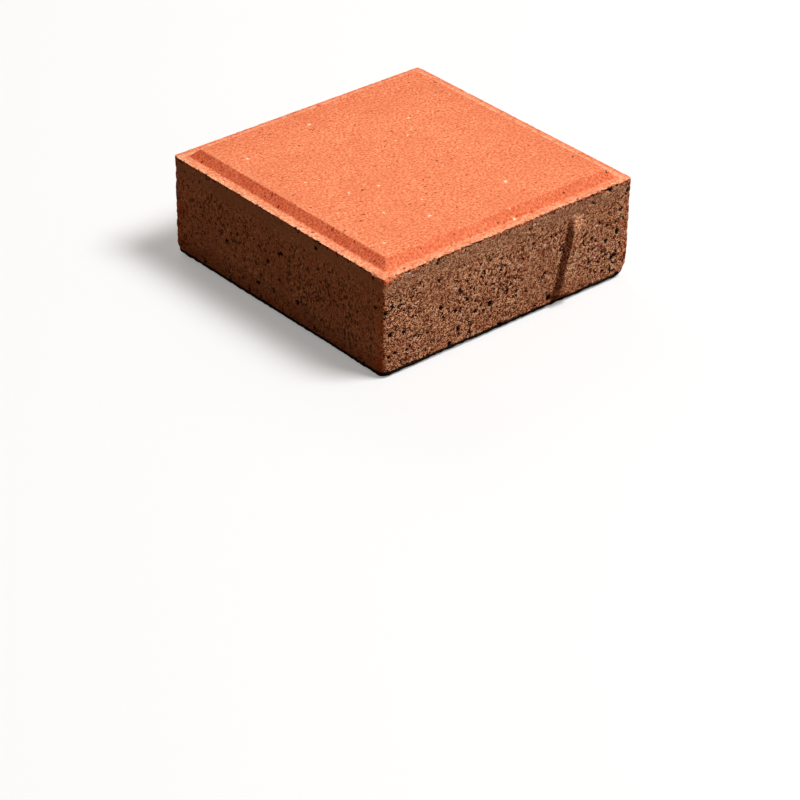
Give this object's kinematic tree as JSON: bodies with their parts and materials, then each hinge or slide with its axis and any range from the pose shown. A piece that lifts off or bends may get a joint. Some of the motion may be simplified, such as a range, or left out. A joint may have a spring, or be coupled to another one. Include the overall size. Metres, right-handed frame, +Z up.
{
  "type": "concrete paving stone",
  "caption": "Square pressed-concrete paving stone with a raised walking face, a bevel and flat land round it, and a tapered spacer rib on a side wall.",
  "frame": {"origin": "middle of the bed, the face that the stone lies on", "axes": "+Z up, out of the walking face; X and Y along the walls, with the spacer rib on the wall that faces -Y"},
  "size_m": [0.15, 0.153, 0.055],
  "materials": {
    "pressed_concrete": "rough, open-grained pressed concrete with a red-pigmented walking face over a brown body"
  },
  "bodies": {
    "root": {"paving_stone": "pressed_concrete"}
  },
  "joints": []
}
